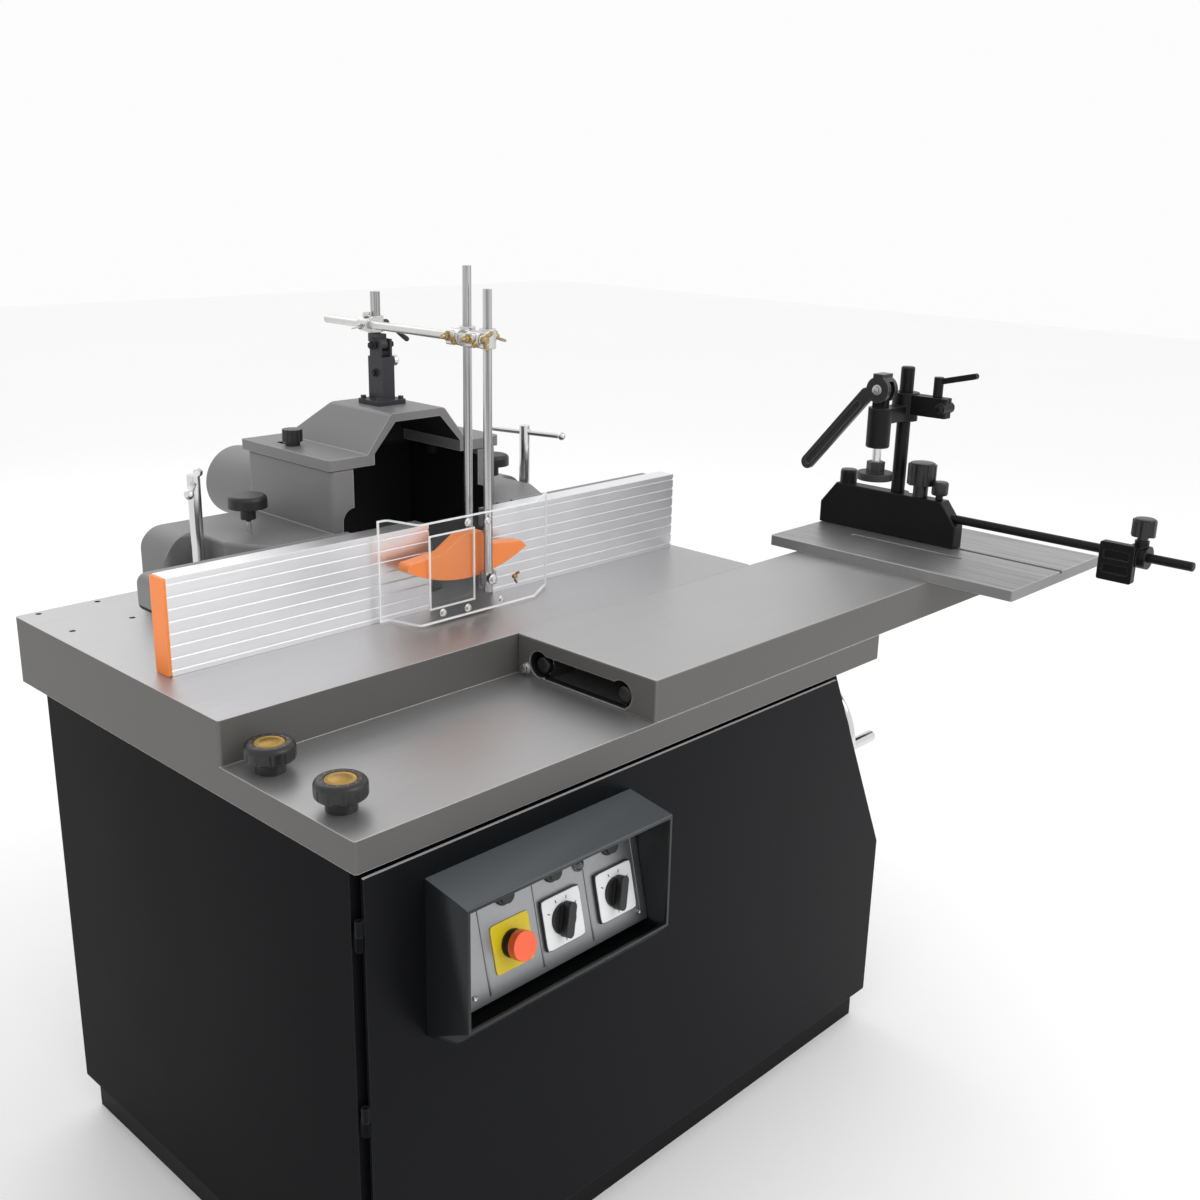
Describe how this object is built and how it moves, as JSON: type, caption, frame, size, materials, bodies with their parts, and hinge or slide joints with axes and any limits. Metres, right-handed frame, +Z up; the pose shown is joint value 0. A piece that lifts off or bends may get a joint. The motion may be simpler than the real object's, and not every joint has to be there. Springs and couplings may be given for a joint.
{
  "type": "spindle moulder",
  "caption": "Floor-standing spindle moulder: cabinet, cast table, short sliding table with mitre fence and clamp, hood with fence boards and clear guard on rods.",
  "frame": {"origin": "on the floor, right under the spindle axis", "axes": "+Z up along the spindle, +X to the operator's right along the fence, +Y to the rear"},
  "size_m": [1.59, 1.361, 1.389],
  "materials": {
    "cabinet_paint": "satin",
    "door_paint": "satin",
    "ground_iron": "ground",
    "slide_iron": "ground",
    "hood_paint": "satin",
    "black_paint": "satin",
    "anodised": "satin",
    "panel_aluminium": "satin",
    "orange_plastic": "satin",
    "black_plastic": "satin",
    "red_plastic": "gloss",
    "chromed": "polished",
    "steel": "satin",
    "clear_sheet": "clear",
    "galvanised": "satin",
    "motor_paint": "satin",
    "belt_rubber": "matte"
  },
  "bodies": {
    "frame": {"base_frame": "cabinet_paint", "cabinet_shell": "cabinet_paint", "table": "ground_iron", "table_rings": "ground_iron", "slide_rails": "chromed", "spindle_housing": "motor_paint"},
    "door": {"door_panel": "door_paint", "control_box": "door_paint", "control_panel": "panel_aluminium"},
    "switch_left": {"rotary_switch_left": "black_plastic"},
    "switch_right": {"rotary_switch_right": "black_plastic"},
    "estop": {"estop_button": "red_plastic"},
    "button_left": {"push_button_left": "black_plastic"},
    "button_middle": {"push_button_middle": "black_plastic"},
    "button_right": {"push_button_right": "black_plastic"},
    "slide": {"sliding_table": "slide_iron", "slide_bearings": "steel", "mitre_plate": "slide_iron"},
    "mitre": {"mitre_fence": "black_paint", "clamp_post": "black_paint", "mitre_bar": "chromed"},
    "mitre_knob": {"mitre_lock_knob": "black_plastic"},
    "stop": {"stop_block": "anodised"},
    "stop_screw": {"stop_knob": "black_plastic"},
    "clamp": {"clamp_arm": "black_paint"},
    "cam": {"clamp_lever": "black_paint"},
    "plunger": {"clamp_plunger": "galvanised"},
    "index": {"index_lever": "chromed"},
    "ledge_knob_front": {"lock_knob_front": "black_plastic"},
    "ledge_knob_rear": {"lock_knob_rear": "black_plastic"},
    "carriage": {"hood_box": "hood_paint", "extraction_spigot": "hood_paint"},
    "handle_left": {"t_handle_left": "chromed"},
    "handle_right": {"t_handle_right": "chromed"},
    "board_left": {"fence_board_left": "anodised", "fence_end_cap": "orange_plastic"},
    "board_right": {"fence_board_right": "anodised"},
    "board_knob_left": {"wing_knob_left": "black_plastic"},
    "board_knob_right": {"wing_knob_right": "black_plastic"},
    "cover": {"hood_cover": "hood_paint", "guard_mast": "black_paint"},
    "cover_screw": {"cover_knob": "black_plastic"},
    "tilt": {"guard_fork": "chromed"},
    "mast_clamp": {"cross_clamp": "galvanised"},
    "arm": {"guard_arm": "chromed"},
    "front_guard": {"guard_rod_front": "chromed", "visor": "clear_sheet"},
    "rear_guard": {"guard_rod_rear": "chromed", "presser_shoe": "orange_plastic"},
    "quill_unit": {"quill": "steel", "spindle_bearings": "steel", "quill_carrier": "motor_paint", "motor": "motor_paint", "drive_belt": "belt_rubber"},
    "spindle": {"spindle_shaft": "steel", "arbor_rings": "steel", "spindle_pulley": "anodised"},
    "rotor": {"motor_pulley": "anodised"},
    "screw": {"lift_screw": "steel"},
    "wheel": {"handwheel": "chromed"}
  },
  "joints": [
    {"name": "door_hinge", "type": "hinge", "parent": "frame", "child": "door", "pos_m": [-0.558, -0.5805, 0.4], "axis": [0, 0, -1], "range_deg": [0, 100]},
    {"name": "switch_left_turn", "type": "hinge", "parent": "door", "child": "switch_left", "pos_m": [-0.256, -0.61399, 0.57535], "axis": [0, -0.9732, 0.2298], "range_deg": [0, 60]},
    {"name": "switch_right_turn", "type": "hinge", "parent": "door", "child": "switch_right", "pos_m": [-0.154, -0.61399, 0.57535], "axis": [0, -0.9732, 0.2298], "range_deg": [0, 60]},
    {"name": "estop_press", "type": "slide", "parent": "door", "child": "estop", "axis": [0, 0.9732, -0.2298], "range_m": [0, 0.006]},
    {"name": "button_left_press", "type": "slide", "parent": "door", "child": "button_left", "axis": [0, 0.9732, -0.2298], "range_m": [0, 0.004], "stiffness_N_per_m": 400, "springref_m": -0.002},
    {"name": "button_middle_press", "type": "slide", "parent": "door", "child": "button_middle", "axis": [0, 0.9732, -0.2298], "range_m": [0, 0.004], "stiffness_N_per_m": 400, "springref_m": -0.002},
    {"name": "button_right_press", "type": "slide", "parent": "door", "child": "button_right", "axis": [0, 0.9732, -0.2298], "range_m": [0, 0.004], "stiffness_N_per_m": 400, "springref_m": -0.002},
    {"name": "table_slide", "type": "slide", "parent": "frame", "child": "slide", "axis": [1, 0, 0], "range_m": [-0.4, 0]},
    {"name": "mitre_pivot", "type": "hinge", "parent": "slide", "child": "mitre", "pos_m": [0.8615, -0.287, 0.88], "axis": [0, 0, 1], "range_deg": [-45, 45]},
    {"name": "mitre_knob_turn", "type": "hinge", "parent": "mitre", "child": "mitre_knob", "pos_m": [0.8615, -0.449, 0.98], "axis": [0, 0, 1], "range_deg": [-180, 180]},
    {"name": "stop_slide", "type": "slide", "parent": "mitre", "child": "stop", "axis": [0, 1, 0], "range_m": [-0.06, 0.25]},
    {"name": "stop_knob_turn", "type": "hinge", "parent": "stop", "child": "stop_screw", "pos_m": [0.8615, -0.88, 0.97], "axis": [0, 0, 1], "range_deg": [-180, 180]},
    {"name": "clamp_height", "type": "slide", "parent": "mitre", "child": "clamp", "axis": [0, 0, 1], "range_m": [-0.07, 0.04]},
    {"name": "cam_lever_turn", "type": "hinge", "parent": "clamp", "child": "cam", "pos_m": [0.783, -0.395, 1.1603], "axis": [1, 0, 0], "range_deg": [0, 90]},
    {"name": "plunger_travel", "type": "slide", "parent": "clamp", "child": "plunger", "axis": [0, 0, 1], "range_m": [0, 0.01]},
    {"name": "index_lever_turn", "type": "hinge", "parent": "clamp", "child": "index", "pos_m": [0.869, -0.462, 1.16], "axis": [0, 0, 1], "range_deg": [-60, 60]},
    {"name": "ledge_knob_front_turn", "type": "hinge", "parent": "frame", "child": "ledge_knob_front", "pos_m": [-0.522, -0.503, 0.8], "axis": [0, 0, 1], "range_deg": [-180, 180]},
    {"name": "ledge_knob_rear_turn", "type": "hinge", "parent": "frame", "child": "ledge_knob_rear", "pos_m": [-0.522, -0.351, 0.8], "axis": [0, 0, 1], "range_deg": [-180, 180]},
    {"name": "carriage_slide", "type": "slide", "parent": "frame", "child": "carriage", "axis": [0, 1, 0], "range_m": [-0.005, 0.07]},
    {"name": "handle_left_turn", "type": "hinge", "parent": "frame", "child": "handle_left", "pos_m": [-0.347, 0.103, 0.9], "axis": [0, 0, 1], "range_deg": [-90, 90]},
    {"name": "handle_right_turn", "type": "hinge", "parent": "frame", "child": "handle_right", "pos_m": [0.347, 0.103, 0.9], "axis": [0, 0, 1], "range_deg": [-90, 90]},
    {"name": "board_left_slide", "type": "slide", "parent": "carriage", "child": "board_left", "axis": [1, 0, 0], "range_m": [-0.08, 0.034]},
    {"name": "board_right_slide", "type": "slide", "parent": "carriage", "child": "board_right", "axis": [1, 0, 0], "range_m": [-0.034, 0.08]},
    {"name": "board_knob_left_turn", "type": "hinge", "parent": "carriage", "child": "board_knob_left", "pos_m": [-0.259, 0.097, 1], "axis": [0, 0, 1], "range_deg": [-180, 180]},
    {"name": "board_knob_right_turn", "type": "hinge", "parent": "carriage", "child": "board_knob_right", "pos_m": [0.259, 0.097, 1], "axis": [0, 0, 1], "range_deg": [-180, 180]},
    {"name": "cover_slide", "type": "slide", "parent": "carriage", "child": "cover", "axis": [0, 1, 0], "range_m": [-0.035, 0]},
    {"name": "cover_knob_turn", "type": "hinge", "parent": "carriage", "child": "cover_screw", "pos_m": [-0.147, 0.132, 1.08], "axis": [0, 0, 1], "range_deg": [-180, 180]},
    {"name": "guard_tilt", "type": "hinge", "parent": "cover", "child": "tilt", "pos_m": [0, 0.083, 1.2493], "axis": [-1, 0, 0], "range_deg": [0, 50]},
    {"name": "guard_height", "type": "slide", "parent": "tilt", "child": "mast_clamp", "axis": [0, 0, 1], "range_m": [0, 0.03]},
    {"name": "guard_reach", "type": "slide", "parent": "mast_clamp", "child": "arm", "axis": [0, -1, 0], "range_m": [0, 0.08]},
    {"name": "front_guard_height", "type": "slide", "parent": "arm", "child": "front_guard", "axis": [0, 0, 1], "range_m": [0, 0.1]},
    {"name": "rear_guard_height", "type": "slide", "parent": "arm", "child": "rear_guard", "axis": [0, 0, 1], "range_m": [0, 0.1]},
    {"name": "handwheel_turn", "type": "hinge", "parent": "frame", "child": "wheel", "pos_m": [0.55, -0.365, 0.525], "axis": [1, 0, 0], "range_deg": [-3600, 1080]},
    {"name": "lift_screw_turn", "type": "hinge", "parent": "frame", "child": "screw", "pos_m": [0.12, -0.365, 0.45], "axis": [0, 0, 1], "range_deg": [-3600, 1080]},
    {"name": "spindle_rise", "type": "slide", "parent": "frame", "child": "quill_unit", "axis": [0, 0, 1], "range_m": [-0.1, 0.03]},
    {"name": "spindle_spin", "type": "hinge", "parent": "quill_unit", "child": "spindle", "pos_m": [0, 0, 0.6], "axis": [0, 0, 1], "continuous": true},
    {"name": "motor_spin", "type": "hinge", "parent": "quill_unit", "child": "rotor", "pos_m": [-0.26, 0, 0.6], "axis": [0, 0, 1], "continuous": true}
  ],
  "couplings": [
    {"joint": "plunger_travel", "follows": "cam_lever_turn", "m_per_rad": 0.0063662},
    {"joint": "lift_screw_turn", "follows": "handwheel_turn", "ratio": 1},
    {"joint": "spindle_rise", "follows": "handwheel_turn", "m_per_rad": 0.0015915},
    {"joint": "motor_spin", "follows": "spindle_spin", "ratio": 0.64286}
  ]
}
